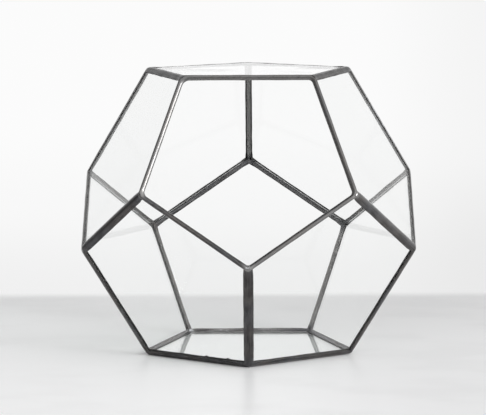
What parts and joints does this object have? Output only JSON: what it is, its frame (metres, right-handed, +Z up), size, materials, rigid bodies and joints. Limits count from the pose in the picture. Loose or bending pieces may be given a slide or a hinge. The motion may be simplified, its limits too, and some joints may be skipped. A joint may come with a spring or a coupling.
{
  "type": "geometric glass terrarium",
  "caption": "Regular dodecahedron terrarium of clear glass pentagon panes in dark soldered seams, standing on one pentagon, with the front upper pentagon open as its mouth.",
  "frame": {"origin": "on the surface it stands on, under the middle of the base pentagon", "axes": "+Z up, -Y towards the viewer, where the open mouth and one corner of the base face, +X to the right"},
  "size_m": [0.2092, 0.2199, 0.1791],
  "materials": {
    "clear_glass": "clear polished sheet glass, 2 mm",
    "patina_solder": "satin",
    "foil_tape": "satin"
  },
  "bodies": {
    "root": {"foil_base": "foil_tape", "foil_lower_back": "foil_tape", "foil_lower_front_left": "foil_tape", "foil_lower_front_right": "foil_tape", "foil_lower_left": "foil_tape", "foil_lower_right": "foil_tape", "foil_top": "foil_tape", "foil_upper_back_left": "foil_tape", "foil_upper_back_right": "foil_tape", "foil_upper_left": "foil_tape", "foil_upper_right": "foil_tape", "pane_base": "clear_glass", "pane_lower_back": "clear_glass", "pane_lower_front_left": "clear_glass", "pane_lower_front_right": "clear_glass", "pane_lower_left": "clear_glass", "pane_lower_right": "clear_glass", "pane_top": "clear_glass", "pane_upper_back_left": "clear_glass", "pane_upper_back_right": "clear_glass", "pane_upper_left": "clear_glass", "pane_upper_right": "clear_glass", "rim_lower_front_left": "patina_solder", "rim_lower_front_right": "patina_solder", "rim_top": "patina_solder", "rim_upper_left": "patina_solder", "rim_upper_right": "patina_solder", "seam_base_lower_back": "patina_solder", "seam_base_lower_front_left": "patina_solder", "seam_base_lower_front_right": "patina_solder", "seam_base_lower_left": "patina_solder", "seam_base_lower_right": "patina_solder", "seam_lower_back_lower_left": "patina_solder", "seam_lower_back_upper_back_left": "patina_solder", "seam_lower_back_upper_back_right": "patina_solder", "seam_lower_front_left_upper_left": "patina_solder", "seam_lower_front_right_lower_front_left": "patina_solder", "seam_lower_front_right_lower_right": "patina_solder", "seam_lower_front_right_upper_right": "patina_solder", "seam_lower_left_lower_front_left": "patina_solder", "seam_lower_left_upper_back_left": "patina_solder", "seam_lower_left_upper_left": "patina_solder", "seam_lower_right_lower_back": "patina_solder", "seam_lower_right_upper_back_right": "patina_solder", "seam_lower_right_upper_right": "patina_solder", "seam_top_upper_back_left": "patina_solder", "seam_top_upper_back_right": "patina_solder", "seam_top_upper_left": "patina_solder", "seam_top_upper_right": "patina_solder", "seam_upper_back_left_upper_left": "patina_solder", "seam_upper_back_right_upper_back_left": "patina_solder", "seam_upper_right_upper_back_right": "patina_solder"}
  },
  "joints": []
}
